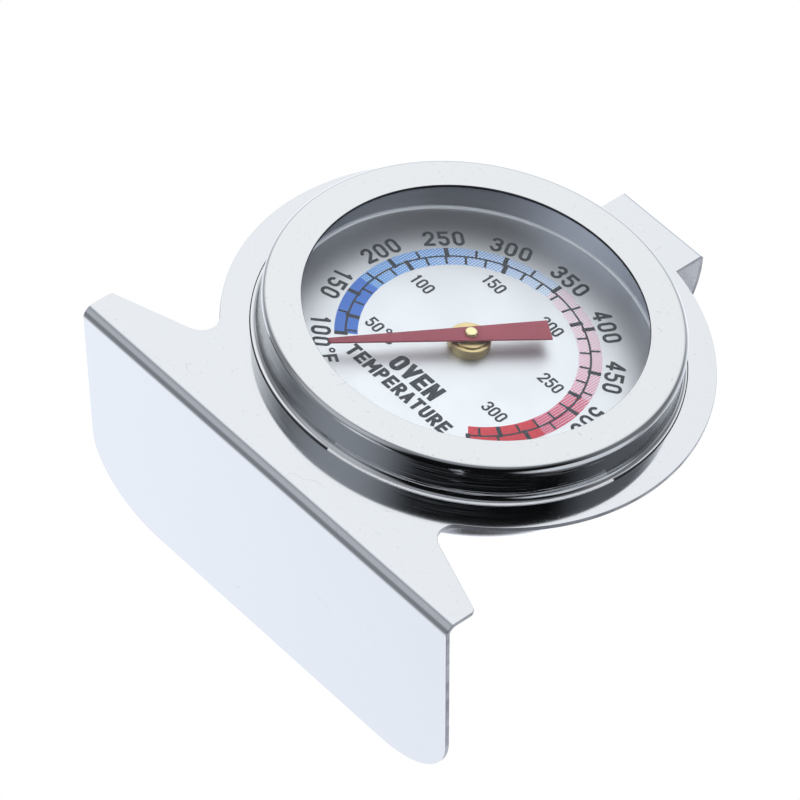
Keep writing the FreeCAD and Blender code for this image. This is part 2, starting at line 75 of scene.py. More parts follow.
def arc_points(cx, cy, radius, start, end, count):
    """Points along an arc, angles in degrees."""
    turns = [math.radians(start + (end - start) * i / count) for i in range(count + 1)]
    return [(cx + radius * math.cos(a), cy + radius * math.sin(a)) for a in turns]


def round_corner(before, corner, after, radius, count=8):
    """The corner of an outline replaced by an arc that touches both of its sides."""
    p, a, b = Vector(corner), Vector(before), Vector(after)
    to_a, to_b = (a - p).normalized(), (b - p).normalized()
    half = to_a.angle(to_b) / 2
    reach = radius / math.tan(half)
    middle = p + (to_a + to_b).normalized() * radius / math.sin(half)
    first, last = p + to_a * reach - middle, p + to_b * reach - middle
    turn = first.angle_signed(last)
    return [tuple(middle + Matrix.Rotation(-turn * i / count, 2) @ first)
            for i in range(count + 1)]


def bent_length(bends):
    """Length of the outer skin along a row of bends and straights."""
    return sum(step[1] * math.radians(step[2]) if step[0] == "bend" else step[1]
               for step in bends)


def along_bends(bends, travel):
    """Where a point of the flat blank ends up after bending.

    Returns how far it has gone forward and inward, measured on the outer skin, and the
    inward direction there, for a strip that starts straight and always bends inward.
    """
    forward, inward, turned = 0.0, 0.0, 0.0
    for step in bends:
        if step[0] == "straight":
            part = travel if step is bends[-1] else min(travel, step[1])
            forward += part * math.cos(turned)
            inward += part * math.sin(turned)
            travel -= part
        else:
            part = min(travel, step[1] * math.radians(step[2]))
            after = turned + part / step[1]
            forward += step[1] * (math.sin(after) - math.sin(turned))
            inward += step[1] * (math.cos(turned) - math.cos(after))
            turned, travel = after, travel - part
        if travel < 1e-9:
            break
    return forward, inward, (-math.sin(turned), math.cos(turned))


def place_on_sheet(x, y, depth):
    """A point of the flat blank, depth under its outer skin, in the dial frame."""
    if y > HOOK_RISE:
        forward, inward, normal = along_bends(hook_bends, y - HOOK_RISE)
        return x, HOOK_RISE + forward + depth * normal[0], -(inward + depth * normal[1])
    if y < FOLD_Y:
        forward, inward, normal = along_bends(foot_bends, FOLD_Y - y)
        return x, FOLD_Y - forward - depth * normal[0], -(inward + depth * normal[1])
    return x, y, -depth


def blank_half():
    """Right half of the flat blank's outline, from the hook's lip down to the foot's rear."""
    lip_y = HOOK_RISE + bent_length(hook_bends)
    rear_y = FOLD_Y - bent_length(foot_bends)
    slope = (math.cos(FLARE), -math.sin(FLARE))
    across = (math.sin(FLARE), math.cos(FLARE))
    base = (SKIRT_HALF + RELIEF_R * across[0], SHOULDER_Y + RELIEF_R * across[1])
    reach = PLATE_R + RELIEF_R
    half_b = base[0] * slope[0] + base[1] * slope[1]
    back = -half_b + math.sqrt(half_b ** 2 - (base[0] ** 2 + base[1] ** 2 - reach ** 2))
    relief = (base[0] + back * slope[0], base[1] + back * slope[1])
    relief_turn = math.degrees(math.atan2(relief[1], relief[0]))
    points = round_corner((0, lip_y), (HOOK_HALF, lip_y), (HOOK_HALF, 0), HOOK_ROUND)
    top_turn = math.degrees(math.acos(HOOK_HALF / PLATE_R))
    points += arc_points(0, 0, PLATE_R, top_turn, relief_turn, 90)
    down = math.degrees(FLARE)
    points += arc_points(*relief, RELIEF_R, relief_turn + 180, 270 - down, 14)[1:]
    up_slope = (SKIRT_HALF - 20 * slope[0], SHOULDER_Y - 20 * slope[1])
    points += round_corner(up_slope, (SKIRT_HALF, SHOULDER_Y), (SKIRT_HALF, FOLD_Y),
                           SHOULDER_ROUND)
    points += round_corner((SKIRT_HALF, FOLD_Y), (SKIRT_HALF, rear_y), (0, rear_y),
                           FOOT_CORNER, 24)
    return points


def filled(loops):
    """A flat sheet inside the first loop of points, with the other loops as holes."""
    flat = bmesh.new()
    for loop in loops:
        corners = [flat.verts.new((x, y, 0)) for x, y in loop]
        for one, other in zip(corners, corners[1:] + corners[:1]):
            flat.edges.new((one, other))
    bmesh.ops.triangle_fill(flat, edges=flat.edges[:], use_beauty=True, normal=(0, 0, 1))
    return flat


def thickened(flat, place, depths):
    """A flat sheet set in space at two depths and closed along its edges.

    Returns its points and faces, and what each face is: 0 front, 1 back, 2 cut edge.
    """
    bmesh.ops.recalc_face_normals(flat, faces=flat.faces)
    flat.verts.index_update()
    count = len(flat.verts)
    points = [place(v.co.x, v.co.y, depth) for depth in depths for v in flat.verts]
    up = flat.faces[0].normal.z > 0
    faces, finishes = [], []
    for face in flat.faces:
        ring = [v.index for v in face.verts]
        ring = ring if up else ring[::-1]
        faces += [ring, [i + count for i in reversed(ring)]]
        finishes += [0, 1]
        for edge in face.edges:
            if len(edge.link_faces) == 1:
                one, other = edge.verts[0].index, edge.verts[1].index
                if ring[(ring.index(one) + 1) % len(ring)] != other:
                    one, other = other, one
                faces.append([other, one, one + count, other + count])
                finishes.append(2)
    flat.free()
    return points, faces, finishes


def stand_mesh():
    """The flat blank is filled, cut along its bends, bent, and given its thickness."""
    right = blank_half()
    loops = [right + [(-x, y) for x, y in reversed(right)],
             arc_points(0, 0, CUP_HOLE_R, 0, 360, 220)[:-1]]
    for start, end in tab_spans:
        loops.append(arc_points(0, 0, SLOT_OUT_R, start, end, 10)
                     + arc_points(0, 0, SLOT_IN_R, end, start, 10))
    flat = filled(loops)
    margin = 0.1
    cuts = []
    for start, side, bends in ((HOOK_RISE, 1, hook_bends), (FOLD_Y, -1, foot_bends)):
        gone = 0.0
        cuts.append(start - side * margin)
        for step in bends[:-1]:
            length = step[1] * math.radians(step[2])
            count = max(4, round(step[2] / 4))
            cuts += [start + side * (gone + length * i / count) for i in range(count + 1)]
            gone += length
        cuts.append(start + side * (gone + margin))
    for cut in sorted(set(round(c, 5) for c in cuts)):
        bmesh.ops.bisect_plane(flat, geom=flat.verts[:] + flat.edges[:] + flat.faces[:],
                               dist=1e-5, plane_co=(0, cut, 0), plane_no=(0, 1, 0))
    return thickened(flat, place_on_sheet, (0.0, SHEET))


def new_piece(name, points, faces):
    """A mesh drawn in the dial frame, in millimetres, set in its place on the stand."""
    mesh = bpy.data.meshes.new(name)
    mesh.from_pydata([[c * MM for c in point] for point in points], [], faces)
    mesh.polygons.foreach_set("use_smooth", [True] * len(mesh.polygons))
    piece = bpy.data.objects.new(name, mesh)
    bpy.context.scene.collection.objects.link(piece)
    piece.matrix_world = dial_seat
    return piece


def break_edges(piece, width, sharper_than=35.0):
    """Round off the sharp edges of a piece a little, as tumbling or buffing does."""
    bevel = piece.modifiers.new("broken_edges", "BEVEL")
    bevel.limit_method = "ANGLE"
    bevel.angle_limit = math.radians(sharper_than)
    bevel.width = width * MM
    bevel.segments = 3
    bevel.use_clamp_overlap = False
    bevel.harden_normals = True


def plug(tree, node, sockets):
    """Give sockets of a node their values, or link them to other sockets."""
    for key, value in sockets.items():
        if isinstance(value, bpy.types.NodeSocket):
            tree.links.new(value, node.inputs[key])
        else:
            node.inputs[key].default_value = value


def add_node(tree, kind, sockets=None, **settings):
    """A node with its settings and what goes into its sockets."""
    node = tree.nodes.new(kind)
    for key, value in settings.items():
        setattr(node, key, value)
    plug(tree, node, sockets or {})
    return node


def arithmetic(tree, operation, *values):
    """One math node, values being numbers or sockets."""
    math_node = add_node(tree, "ShaderNodeMath", dict(enumerate(values)), operation=operation)
    return math_node.outputs[0]


def remap(tree, value, low, high, to_low=0.0, to_high=1.0):
    """A value stretched from one range to another, and held inside it."""
    return add_node(tree, "ShaderNodeMapRange", {
        "Value": value, "From Min": low, "From Max": high,
        "To Min": to_low, "To Max": to_high}).outputs[0]


def noise(tree, scale, detail, place=None, **more):
    """Cloudy noise, fixed to the piece unless it is given other coordinates."""
    if place is None:
        place = tree.nodes.new("ShaderNodeTexCoord").outputs["Object"]
    return add_node(tree, "ShaderNodeTexNoise", {
        "Vector": place, "Scale": scale, "Detail": detail, **more}).outputs[0]


def bump(tree, height, strength, distance, **more):
    """A surface normal bent by a height, whose full range is a distance in millimetres."""
    return add_node(tree, "ShaderNodeBump", {
        "Height": height, "Strength": strength, "Distance": distance * MM, **more}).outputs[0]


def new_group(name, inputs, outputs):
    """An empty shader group with named float inputs and outputs."""
    tree = bpy.data.node_groups.new(name, "ShaderNodeTree")
    for label, value in inputs:
        socket = tree.interface.new_socket(label, in_out="INPUT", socket_type="NodeSocketFloat")
        socket.default_value = value
    for label, kind in outputs:
        tree.interface.new_socket(label, in_out="OUTPUT", socket_type=kind)
    given = tree.nodes.new("NodeGroupInput").outputs
    return tree, given, tree.nodes.new("NodeGroupOutput")


def use_group(tree, group, **values):
    """A copy of a shader group with its values, as what comes out of it."""
    return add_node(tree, "ShaderNodeGroup", values, node_tree=group).outputs


def scuff_group():
    """Fine broken scratches and small rubbed specks, as a mask and as a height."""
    tree, given, out = new_group("scuffs", [("Size", 90.0), ("Share", 0.4)],
                                 [("Mask", "NodeSocketFloat"), ("Height", "NodeSocketFloat")])
    lines = noise(tree, given["Size"], 1.0, Distortion=0.6)
    off = arithmetic(tree, "ABSOLUTE", arithmetic(tree, "SUBTRACT", lines, 0.5))
    thin = remap(tree, off, 0.0, 0.0035, 1.0, 0.0)
    patch = remap(tree, noise(tree, 260.0, 2.0), 0.6, 0.68)
    scratch = arithmetic(tree, "MULTIPLY", thin, patch)
    speck = remap(tree, noise(tree, 1900.0, 2.0), 0.67, 0.74)
    both = arithmetic(tree, "MAXIMUM", scratch, arithmetic(tree, "MULTIPLY", speck, 0.6))
    mask = arithmetic(tree, "MULTIPLY", both, given["Share"])
    plug(tree, out, {"Mask": mask, "Height": arithmetic(tree, "MULTIPLY", mask, -1.0)})
    return tree


def cloud_group():
    """Slow uneven tone, as left by hand polishing, and the gentle waves of thin sheet."""
    tree, given, out = new_group("uneven_polish", [("Size", 60.0), ("Low", 0.0), ("High", 1.0)],
                                 [("Tone", "NodeSocketFloat"), ("Waves", "NodeSocketFloat")])
    cloud = noise(tree, given["Size"], 3.0, Roughness=0.55)
    plug(tree, out, {"Tone": remap(tree, cloud, 0.3, 0.7, given["Low"], given["High"]),
                     "Waves": noise(tree, 45.0, 0.0)})
    return tree


scuffs = scuff_group()
uneven_polish = cloud_group()


def new_material(name):
    """A material with an empty Principled shader; returns it, its tree and the shader."""
    material = bpy.data.materials.new(name)
    material.use_nodes = True
    tree = material.node_tree
    tree.nodes.clear()
    shader = tree.nodes.new("ShaderNodeBsdfPrincipled")
    output = tree.nodes.new("ShaderNodeOutputMaterial")
    tree.links.new(shader.outputs[0], output.inputs["Surface"])
    return material, tree, shader


def mix_colors(tree, factor, one, other):
    """One colour turning into another as the factor goes from 0 to 1."""
    return add_node(tree, "ShaderNodeMix", {0: factor, 6: one, 7: other},
                    data_type="RGBA").outputs[2]


def spun_group():
    """Fine lines that a spinning roller leaves around a wall, as a height; none on flat faces."""
    tree, given, out = new_group("spun_lines", [("Top", 0.0052), ("Depth", 1.0)],
                                 [("Height", "NodeSocketFloat")])
    place = tree.nodes.new("ShaderNodeTexCoord").outputs["Object"]
    axes = add_node(tree, "ShaderNodeSeparateXYZ", {"Vector": place}).outputs
    turn = arithmetic(tree, "ARCTAN2", axes["Y"], axes["X"])
    along = add_node(tree, "ShaderNodeCombineXYZ", {
        "X": arithmetic(tree, "MULTIPLY", turn, 0.0006), "Z": axes["Z"]}).outputs[0]
    lines = noise(tree, 2600.0, 2.0, along, Roughness=0.6)
    wall = remap(tree, axes["Z"], given["Top"], 0.006, given["Depth"], 0.0)
    plug(tree, out, {"Height": arithmetic(tree, "MULTIPLY", lines, wall)})
    return tree


spun_lines = spun_group()


def polished_steel(name, color, dull, roughness, wave_depth, scuff_share, spun=False):
    """Buffed stainless sheet: a mirror with faint waves, hairline scuffs and rubbed specks."""
    material, tree, shader = new_material(name)
    marks = use_group(tree, scuffs, Share=scuff_share)
    cloud = use_group(tree, uneven_polish, Low=roughness, High=roughness * 1.8)
    height = arithmetic(tree, "MULTIPLY_ADD", marks["Height"], 0.02, cloud["Waves"])
    normal = bump(tree, height, 1.0, wave_depth)
    if spun:
        lines = use_group(tree, spun_lines)["Height"]
        normal = bump(tree, lines, 1.0, 0.06, Normal=normal)
    plug(tree, shader, {
        "Base Color": mix_colors(tree, marks["Mask"], color, dull), "Metallic": 1.0,
        "Roughness": arithmetic(tree, "MULTIPLY_ADD", marks["Mask"], 0.25, cloud["Tone"]),
        "Normal": normal})
    return material


def mill_finish(name, light, dark, roughness, metallic):
    """Rolled or sheared steel that was never polished: dull, cloudy and finely pitted. On the bezel
    it also carries a near-black painted shade and a pale painted highlight.
    """
    material, tree, shader = new_material(name)
    tone = use_group(tree, uneven_polish, Size=220.0, Low=0.0, High=1.0)["Tone"]
    plug(tree, shader, {
        "Base Color": mix_colors(tree, tone, dark, light), "Metallic": metallic,
        "Roughness": remap(tree, tone, 0.0, 1.0, roughness * 1.2, roughness * 0.8),
        "Normal": bump(tree, noise(tree, 4000.0, 2.0), 0.5, 0.01)})
    return material


stand_points, stand_faces, stand_finishes = stand_mesh()
stand_sheet = new_piece("stand_sheet", stand_points, stand_faces)
stand_sheet.data.polygons.foreach_set("material_index", stand_finishes)
stand_sheet.data.transform(dial_seat)
stand_sheet.matrix_world = Matrix.Identity(4)
break_edges(stand_sheet, 0.08)
stand_sheet.data.materials.append(polished_steel(
    "polished_stand_steel", (0.468, 0.487, 0.512, 1), (0.30, 0.31, 0.33, 1), 0.055, 0.05, 0.5))
stand_sheet.data.materials.append(mill_finish(
    "mill_finish_back", (0.73, 0.74, 0.76, 1), (0.66, 0.67, 0.69, 1), 0.42, 0.45))
stand_sheet.data.materials.append(mill_finish(
    "sheared_edge", (0.30, 0.31, 0.34, 1), (0.16, 0.165, 0.18, 1), 0.4, 0.8))
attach(stand_sheet, "case")
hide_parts("stand_plate")


# Movement cup and what is fixed to its floor: a drawn steel cup that passes through the plate,
# three closed rivets, the blind rear bearing and the turned-up ring that carries the dial.
# The cup is satin from drawing; the rivets and the ring are plain steel, the bearing brass.
def grain_group():
    """Fine drawn grain along one direction, with its tone and its height."""
    tree, given, out = new_group("drawn_grain", [("Fineness", 1.0)],
                                 [("Tone", "NodeSocketFloat"), ("Height", "NodeSocketFloat")])
    place = tree.nodes.new("ShaderNodeTexCoord").outputs["Object"]
    drawn = add_node(tree, "ShaderNodeMapping", {"Vector": place, "Scale": (700, 700, 9000)})
    lines = noise(tree, given["Fineness"], 3.0, drawn.outputs[0])
    cloud = arithmetic(tree, "MULTIPLY", noise(tree, 120.0, 3.0), 0.5)
    plug(tree, out, {"Tone": arithmetic(tree, "MULTIPLY_ADD", lines, 0.5, cloud), "Height": lines})
    return tree


drawn_grain = grain_group()


def satin_metal(name, light, dark, roughness, depth, fineness=1.0):
    """Bare metal with a fine grain that shows in its colour, its gloss and its surface."""
    material, tree, shader = new_material(name)
    grain = use_group(tree, drawn_grain, Fineness=fineness)
    marks = use_group(tree, scuffs, Share=0.5)
    color = mix_colors(tree, grain["Tone"], dark, light)
    plug(tree, shader, {
        "Base Color": mix_colors(tree, marks["Mask"], color, dark), "Metallic": 1.0,
        "Roughness": remap(tree, grain["Tone"], 0.0, 1.0, roughness * 0.7, roughness * 1.4),
        "Normal": bump(tree, grain["Height"], 0.6, depth)})
    return material


def dress(nodes, material):
    """Give CAD pieces that stay in view their finish."""
    for name in nodes:
        node = frame["nodes"][name]
        node.data.materials.clear()
        node.data.materials.append(material)


cup_steel = satin_metal("drawn_cup_steel", (0.70, 0.71, 0.73, 1), (0.52, 0.53, 0.55, 1),
                        0.26, 0.004)
plain_steel = satin_metal("plain_stamped_steel", (0.60, 0.61, 0.63, 1), (0.42, 0.43, 0.45, 1),
                          0.34, 0.006)
turned_brass = satin_metal("turned_brass", (0.80, 0.66, 0.36, 1), (0.55, 0.43, 0.20, 1),
                           0.24, 0.004)
dress(["movement_cup"], cup_steel)
dress(["floor_rivets", "dial_support_ring", "movement_bridge", "bush_washer", "coil_anchor"],
      plain_steel)
dress(["rear_pivot_bush", "bush_nut", "coil_end_pin", "coil_collet"], turned_brass)


# Bimetal coil: rolled strip of two alloys, heat-toned straw and grey, wound behind the dial.
# Its inner end turns the arbor, its outer end is pinned to the anchor on the cup's floor.
coil_strip = satin_metal("rolled_bimetal", (0.62, 0.56, 0.48, 1), (0.40, 0.36, 0.33, 1),
                         0.3, 0.005)
dress(["bimetal_coil"], coil_strip)


# Dial plate: an aluminium disc with a fine silver-white satin face that carries the print.
DIAL_Z, DIAL_T, DIAL_R, DIAL_HOLE_R = -1.2, 0.5, 27.0, 2.05
CREASE = math.radians(40)


def turned_points(profile, steps=180, start=0.0, sweep=360.0):
    """Turn a closed profile of (radius, z) about the dial axis; a part turn gets end faces."""
    whole = sweep >= 360.0
    count = steps if whole else steps + 1
    points, faces, rings = [], [], []
    for radius, z in profile:
        if radius < 1e-9:
            rings.append([len(points)] * count)
            points.append((0, 0, z))
            continue
        rings.append(list(range(len(points), len(points) + count)))
        for i in range(count):
            a = math.radians(start + sweep * i / steps)
            points.append((radius * math.cos(a), radius * math.sin(a), z))
    for near, far in zip(rings, rings[1:] + rings[:1]):
        for i in range(steps):
            j = (i + 1) % count
            face = [near[i], near[j], far[j], far[i]]
            face = [v for k, v in enumerate(face) if v != face[k - 1]]
            if len(face) > 2:
                faces.append(face)
    if not whole:
        faces += [[ring[0] for ring in rings], [ring[-1] for ring in reversed(rings)]]
    return points, faces


def soft_profile(corners, support=0.05):
    """A profile whose corners (radius, z, rounding) are rounded.

    Support points beside every rounding keep the flat bands between them flat.
    """
    arcs, total = [], len(corners)
    for i, (r, z, rounding) in enumerate(corners):
        before, after = corners[i - 1][:2], corners[(i + 1) % total][:2]
        arcs.append(round_corner(before, (r, z), after, rounding) if rounding else [(r, z)])
    profile = []
    for i, arc in enumerate(arcs):
        profile += arc
        here, there = Vector(arc[-1]), Vector(arcs[(i + 1) % total][0])
        length = (there - here).length
        if length > 4 * support:
            step = (there - here) * support / length
            profile += [tuple(here + step), tuple(there - step)]
    return profile


def dial_face_material():
    """Satin anodised silver: a fine even speckle in tone and gloss over a soft mirror."""
    material, tree, shader = new_material("silver_dial_face")
    speckle = noise(tree, 5200.0, 2.0)
    cloud = use_group(tree, uneven_polish, Size=140.0, Low=0.46, High=0.52)
    plug(tree, shader, {
        "Base Color": mix_colors(tree, speckle, (0.745, 0.765, 0.80, 1), (0.815, 0.835, 0.865, 1)),
        "Metallic": 0.92, "Roughness": cloud["Tone"],
        "Normal": bump(tree, speckle, 0.5, 0.003)})
    return material


dial_face = new_piece("dial_face", *turned_points(soft_profile([
    (DIAL_HOLE_R, DIAL_Z, 0), (DIAL_HOLE_R, DIAL_Z - DIAL_T, 0),
    (DIAL_R, DIAL_Z - DIAL_T, 0.1), (DIAL_R, DIAL_Z, 0.1)])))
dial_face.data.set_sharp_from_angle(angle=CREASE)
dial_face.data.materials.append(dial_face_material())
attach(dial_face, "case")
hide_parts("dial_plate")


# Temperature bands: two rings of colour printed on the dial, Fahrenheit outside and Celsius
# inside. Both run blue, pale blue, pink and red, the paler stretches as a fine dot screen.
BAND_OUTER_R, BAND_MIDDLE_R, BAND_INNER_R = 18.9, 17.3, 15.6
TOP_FAHRENHEIT, TOP_TURN, TURN_PER_F = 350.0, -1.0, 0.5438
INK, LAYER = 0.008, 0.002
SCREEN_PITCH, SCREEN_BLUR, FULL_SHARE = 0.40, 0.12, 1.2
BLANK = (0.80, 0.83, 0.88, 1)


def turn_of_f(fahrenheit):
    """Degrees clockwise from the top of the dial."""
    return TOP_TURN + (fahrenheit - TOP_FAHRENHEIT) * TURN_PER_F


def turn_of_c(celsius):
    """The same for Celsius."""
    return turn_of_f(celsius * 1.8 + 32)


def on_dial(radius, turn, z):
    """The point at a radius and a turn from the top."""
    a = math.radians(turn)
    return radius * math.sin(a), radius * math.cos(a), z


def band_points(inner, outer, start, end, z):
    """A flat stretch of ring between two turns, a face for each degree."""
    count = max(2, round(end - start))
    turns = [start + (end - start) * i / count for i in range(count + 1)]
    points = [on_dial(r, t, z) for t in turns for r in (inner, outer)]
    return points, [[2 * i, 2 * i + 1, 2 * i + 3, 2 * i + 2] for i in range(count)]


def add_flat(target, points, faces):
    """Gather flat printed shapes into one mesh."""
    first = len(target[0])
    target[0].extend(points)
    target[1].extend([[i + first for i in face] for face in faces])


def ink_material(name, ink, turns, shares):
    """Ink in a dot screen: its share of the ground changes evenly between the two turns."""
    material, tree, shader = new_material(name)
    place = tree.nodes.new("ShaderNodeTexCoord").outputs["Object"]
    axes = add_node(tree, "ShaderNodeSeparateXYZ", {"Vector": place}).outputs
    turn = arithmetic(tree, "ARCTAN2", axes["X"], axes["Y"])
    share = remap(tree, turn, *(math.radians(t) for t in turns), *shares)
    dots = [arithmetic(tree, "SINE", arithmetic(
        tree, "MULTIPLY", axes[axis], math.tau / (SCREEN_PITCH * MM))) for axis in "XY"]
    screen = arithmetic(tree, "MULTIPLY_ADD", arithmetic(tree, "ADD", *dots), 0.25, 0.5)
    edge = arithmetic(tree, "SUBTRACT", share, screen)
    inked = remap(tree, edge, -SCREEN_BLUR, SCREEN_BLUR)
    plug(tree, shader, {
        "Base Color": mix_colors(tree, inked, BLANK, ink), "Roughness": 0.4,
        "Metallic": remap(tree, inked, 0.0, 1.0, 0.6, 0.0), "Specular IOR Level": 0.15})
    return material


band_inks = [
    ("solid_blue", 100, 167, (0.085, 0.215, 0.66, 1), (FULL_SHARE, FULL_SHARE)),
    ("screened_blue", 167, 350, (0.13, 0.36, 0.76, 1), (0.80, 0.34)),
    ("screened_pink", 350, 482, (0.72, 0.16, 0.30, 1), (0.30, 0.54)),
    ("screened_red", 482, 536, (0.70, 0.08, 0.18, 1), (0.66, 0.78)),
    ("solid_red", 536, 600, (0.70, 0.065, 0.09, 1), (FULL_SHARE, FULL_SHARE)),
]
band_shapes, band_owners, inks = ([], []), [], []
for ink_name, low, high, ink, shares in band_inks:
    turns = turn_of_f(low), turn_of_f(high)
    points, faces = band_points(BAND_INNER_R, BAND_OUTER_R, *turns, DIAL_Z + INK)
    add_flat(band_shapes, points, faces)
    band_owners += [len(inks)] * len(faces)
    inks.append(ink_material(ink_name, ink, turns, shares))
scale_bands = new_piece("scale_bands", *band_shapes)
scale_bands.data.polygons.foreach_set("material_index", band_owners)
for ink in inks:
    scale_bands.data.materials.append(ink)
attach(scale_bands, "case")


# Ticks and circle line: dark grey print over the bands. A tick stands every 25 F outside and
# every 10 C inside, with heavier ones at the figures.
TICK_THIN, TICK_BOLD, CIRCLE_LINE = 0.36, 0.66, 0.30


def tick_points(inner, outer, turn, width, z):
    """One straight tick between two radii."""
    middle = math.radians(turn)
    side = (math.cos(middle) * width / 2, -math.sin(middle) * width / 2)
    points = []
    for radius in (inner, outer):
        x, y, _ = on_dial(radius, turn, z)
        points += [(x - side[0], y - side[1], z), (x + side[0], y + side[1], z)]
    return points, [[0, 1, 3, 2]]


def dark_ink_material():
    """Grey-black stoving ink, a little uneven and with a soft gloss."""
    material, tree, shader = new_material("dark_dial_ink")
    tone = use_group(tree, uneven_polish, Size=900.0, Low=0.0, High=1.0)["Tone"]
    plug(tree, shader, {
        "Base Color": mix_colors(tree, tone, (0.035, 0.042, 0.055, 1), (0.06, 0.07, 0.085, 1)),
        "Roughness": 0.42, "Specular IOR Level": 0.15})
    return material


dark_ink = dark_ink_material()
tick_shapes = ([], [])
tick_z = DIAL_Z + 2 * INK
add_flat(tick_shapes, *band_points(BAND_MIDDLE_R - CIRCLE_LINE / 2, BAND_MIDDLE_R + CIRCLE_LINE / 2,
                                   turn_of_f(100), turn_of_f(600), tick_z))
tick_rows = [(1, BAND_OUTER_R, turn_of_f, range(100, 601, 25)),
             (-1, BAND_INNER_R, turn_of_c, range(40, 311, 10))]
for layer, (side, edge, turn_of, degrees) in enumerate(tick_rows, 1):
    for value in degrees:
        bold = value % 50 == 0
        past_line, inset, width = (0.3, 0.0, TICK_BOLD) if bold else (0.1, 0.15, TICK_THIN)
        ends = sorted((BAND_MIDDLE_R - side * past_line, edge - side * inset))
        add_flat(tick_shapes, *tick_points(*ends, turn_of(value), width, tick_z + LAYER * layer))
scale_ticks = new_piece("scale_ticks", *tick_shapes)
scale_ticks.data.materials.append(dark_ink)
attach(scale_ticks, "case")


# Figures and heading: condensed bold printing. Fahrenheit figures stand around the bands, tops
# outward but inward on the lower sides. Celsius figures stand upright inside, the heading below.
FULL = 0.5
pen_strokes = {
    "0": [("loop", (0, 0, FULL), (1, 0, FULL), (1, 1, FULL), (0, 1, FULL))],
    "1": [("line", (0.55, 0, 0), (0.55, 1, 0)), ("stub", (0.0, 0.78, 0), (0.5, 0.97, 0))],
    "2": [("stub", (0, 0.70, 0), (0, 1, FULL), (1, 1, FULL), (1, 0.60, 0.3), (0.02, 0.02, 0)),
          ("line", (0, 0, 0), (1, 0, 0))],
    "3": [("stub", (0, 0.74, 0), (0, 1, FULL), (1, 1, FULL), (1, 0.53, 0.4), (0.35, 0.53, 0)),
          ("stub", (0.35, 0.53, 0), (1, 0.53, 0.4), (1, 0, FULL), (0, 0, FULL), (0, 0.26, 0))],
    "4": [("line", (0.72, 0, 0), (0.72, 1, 0)), ("stub", (0.66, 1, 0), (-0.02, 0.30, 0)),
          ("line", (-0.02, 0.24, 0), (1.02, 0.24, 0))],
    "5": [("line", (0.95, 1, 0), (0.05, 1, 0)), ("stub", (0.05, 1, 0), (0.05, 0.5, 0)),
          ("stub", (0.05, 0.61, 0), (1, 0.61, FULL), (1, 0, FULL), (0, 0, FULL), (0, 0.26, 0))],
    "6": [("loop", (0, 0, FULL), (1, 0, FULL), (1, 0.58, FULL), (0, 0.58, FULL)),
          ("stub", (1, 0.74, 0), (1, 1, FULL), (0, 1, FULL), (0, 0.3, 0))],
    "F": [("line", (0, 0, 0), (0, 1, 0)), ("line", (0, 1, 0), (1, 1, 0)),
          ("line", (0, 0.52, 0), (0.85, 0.52, 0))],
    "C": [("stub", (1, 0.68, 0), (1, 1, FULL), (0, 1, FULL), (0, 0, FULL), (1, 0, FULL),
           (1, 0.32, 0))],
    "V": [("line", (0, 1, 0), (0.5, 0.06, 0)), ("line", (0.5, 0.06, 0), (1, 1, 0))],
    "E": [("line", (0, 0, 0), (0, 1, 0)), ("line", (0, 1, 0), (1, 1, 0)),
          ("line", (0, 0.5, 0), (0.9, 0.5, 0)), ("line", (0, 0, 0), (1, 0, 0))],
    "N": [("line", (0, 0, 0), (0, 1, 0)), ("line", (1, 0, 0), (1, 1, 0)),
          ("stub", (0, 1, 0), (1, 0, 0))],
    "T": [("line", (0, 1, 0), (1, 1, 0)), ("line", (0.5, 0, 0), (0.5, 1, 0))],
    "M": [("line", (0, 0, 0), (0, 1, 0)), ("line", (1, 0, 0), (1, 1, 0)),
          ("stub", (0, 1, 0), (0.5, 0.3, 0)), ("stub", (0.5, 0.3, 0), (1, 1, 0))],
    "P": [("line", (0, 0, 0), (0, 1, 0)),
          ("stub", (0, 1, 0), (1, 1, FULL), (1, 0.46, FULL), (0, 0.46, 0))],
    "R": [("line", (0, 0, 0), (0, 1, 0)),
          ("stub", (0, 1, 0), (1, 1, FULL), (1, 0.46, FULL), (0, 0.46, 0)),
          ("line", (0.45, 0.46, 0), (1, 0, 0))],
    "A": [("line", (0, 0, 0), (0.5, 0.95, 0)), ("line", (0.5, 0.95, 0), (1, 0, 0)),
          ("stub", (0.2, 0.28, 0), (0.8, 0.28, 0))],
    "U": [("line", (0, 1, 0), (0, 0, FULL), (1, 0, FULL), (1, 1, 0))],
}
pen_strokes["O"] = pen_strokes["0"]
DEGREE = "°"
DEGREE_PEN = 0.62
letter_widths = {DEGREE: 0.62, "M": 1.28, "1": 0.8}


def pen_path(kind, corners, wide, tall, pen):
    """Centre line of one pen stroke in millimetres, with its corners rounded."""
    spots = [Vector((x * wide, y * tall)) for x, y, _ in corners]
    radii = [r * wide for _, _, r in corners]
    total = len(spots)
    if kind == "line":
        spots[0] += (spots[0] - spots[1]).normalized() * pen / 2
        spots[-1] += (spots[-1] - spots[-2]).normalized() * pen / 2
    path = []
    for i, spot in enumerate(spots):
        ends = kind != "loop" and i in (0, total - 1)
        if ends or radii[i] == 0:
            path.append(tuple(spot))
            continue
        before, after = spots[i - 1], spots[(i + 1) % total]
        room = []
        for j, other in ((i - 1, before), ((i + 1) % total, after)):
            free = kind != "loop" and j in (0, total - 1)
            room.append((other - spot).length * (1.0 if free else 0.5))
        path += round_corner(before, spot, after, min(radii[i], *room), 7)
    return path


